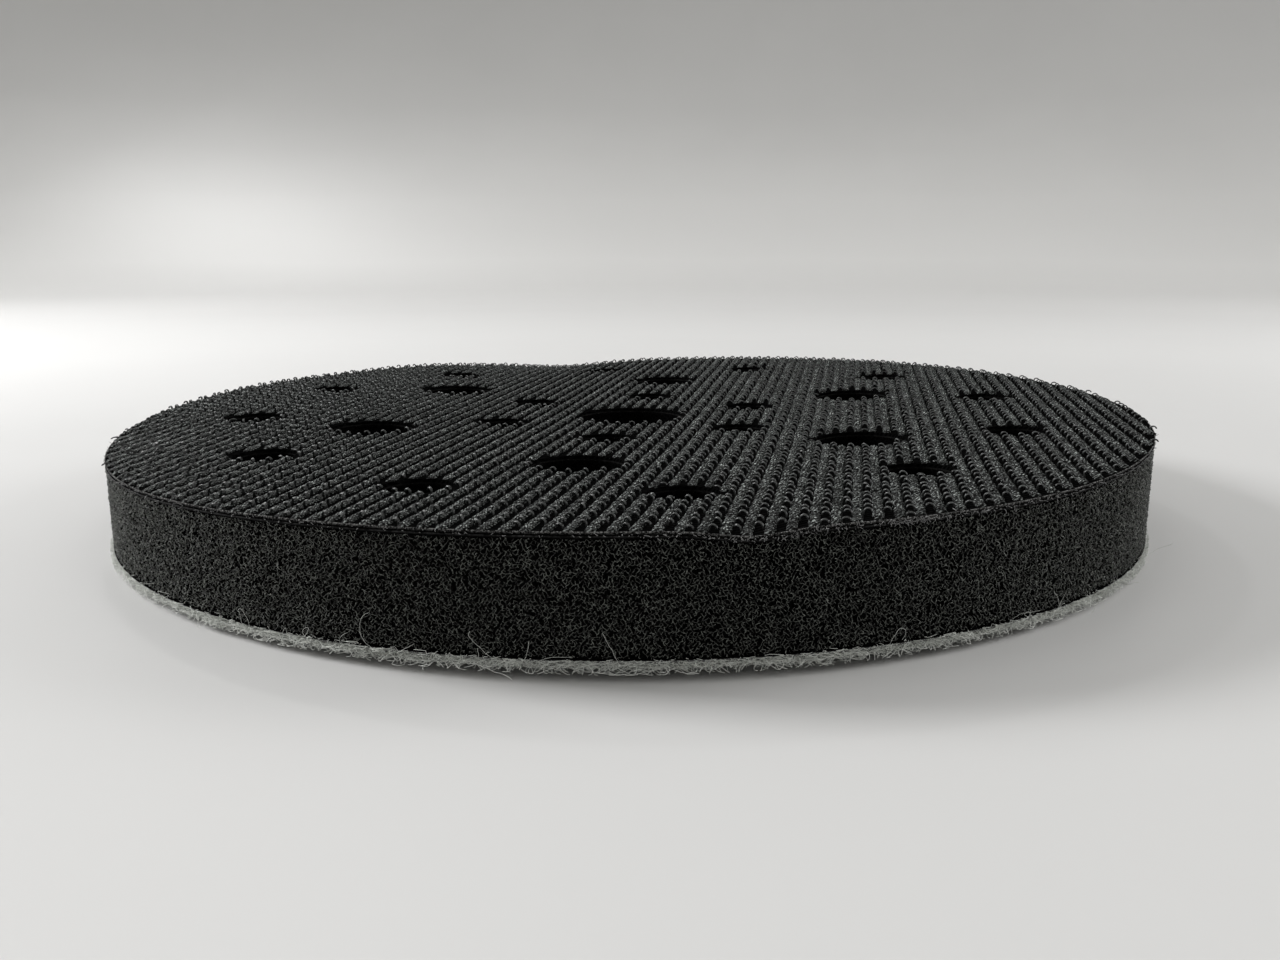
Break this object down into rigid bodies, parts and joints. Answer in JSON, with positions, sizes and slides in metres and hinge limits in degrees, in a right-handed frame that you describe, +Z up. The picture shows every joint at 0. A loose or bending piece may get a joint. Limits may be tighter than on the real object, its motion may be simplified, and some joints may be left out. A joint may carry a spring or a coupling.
{
  "type": "polishing pad",
  "caption": "Round soft foam interface pad with a loop face below, a hook face above and rings of dust holes punched right through.",
  "frame": {"origin": "middle of the loop face that the pad lies on", "axes": "+Z up through the hook face, +Y through one hole of the middle ring"},
  "size_m": [0.15, 0.15, 0.0146],
  "materials": {
    "loop_pile": "brushed loop pile, matte",
    "loop_ground_cloth": "warp knit, matte",
    "glue_film": "thin dark hot-melt film",
    "foam_core": "open-cell foam, matte",
    "back_coating": "matte",
    "hook_ground_cloth": "woven, matte",
    "hook_filament": "satin",
    "woven_rib": "twill, matte"
  },
  "bodies": {
    "root": {"loop_pile": "loop_pile", "loop_ground_cloth": "loop_ground_cloth", "loop_glue_film": "glue_film", "foam_core": "foam_core", "hook_glue_film": "glue_film", "hook_back_coating": "back_coating", "hook_ground_cloth": "hook_ground_cloth", "hook_column_left": "hook_filament", "hook_column_right": "hook_filament", "woven_rib": "woven_rib"}
  },
  "joints": []
}
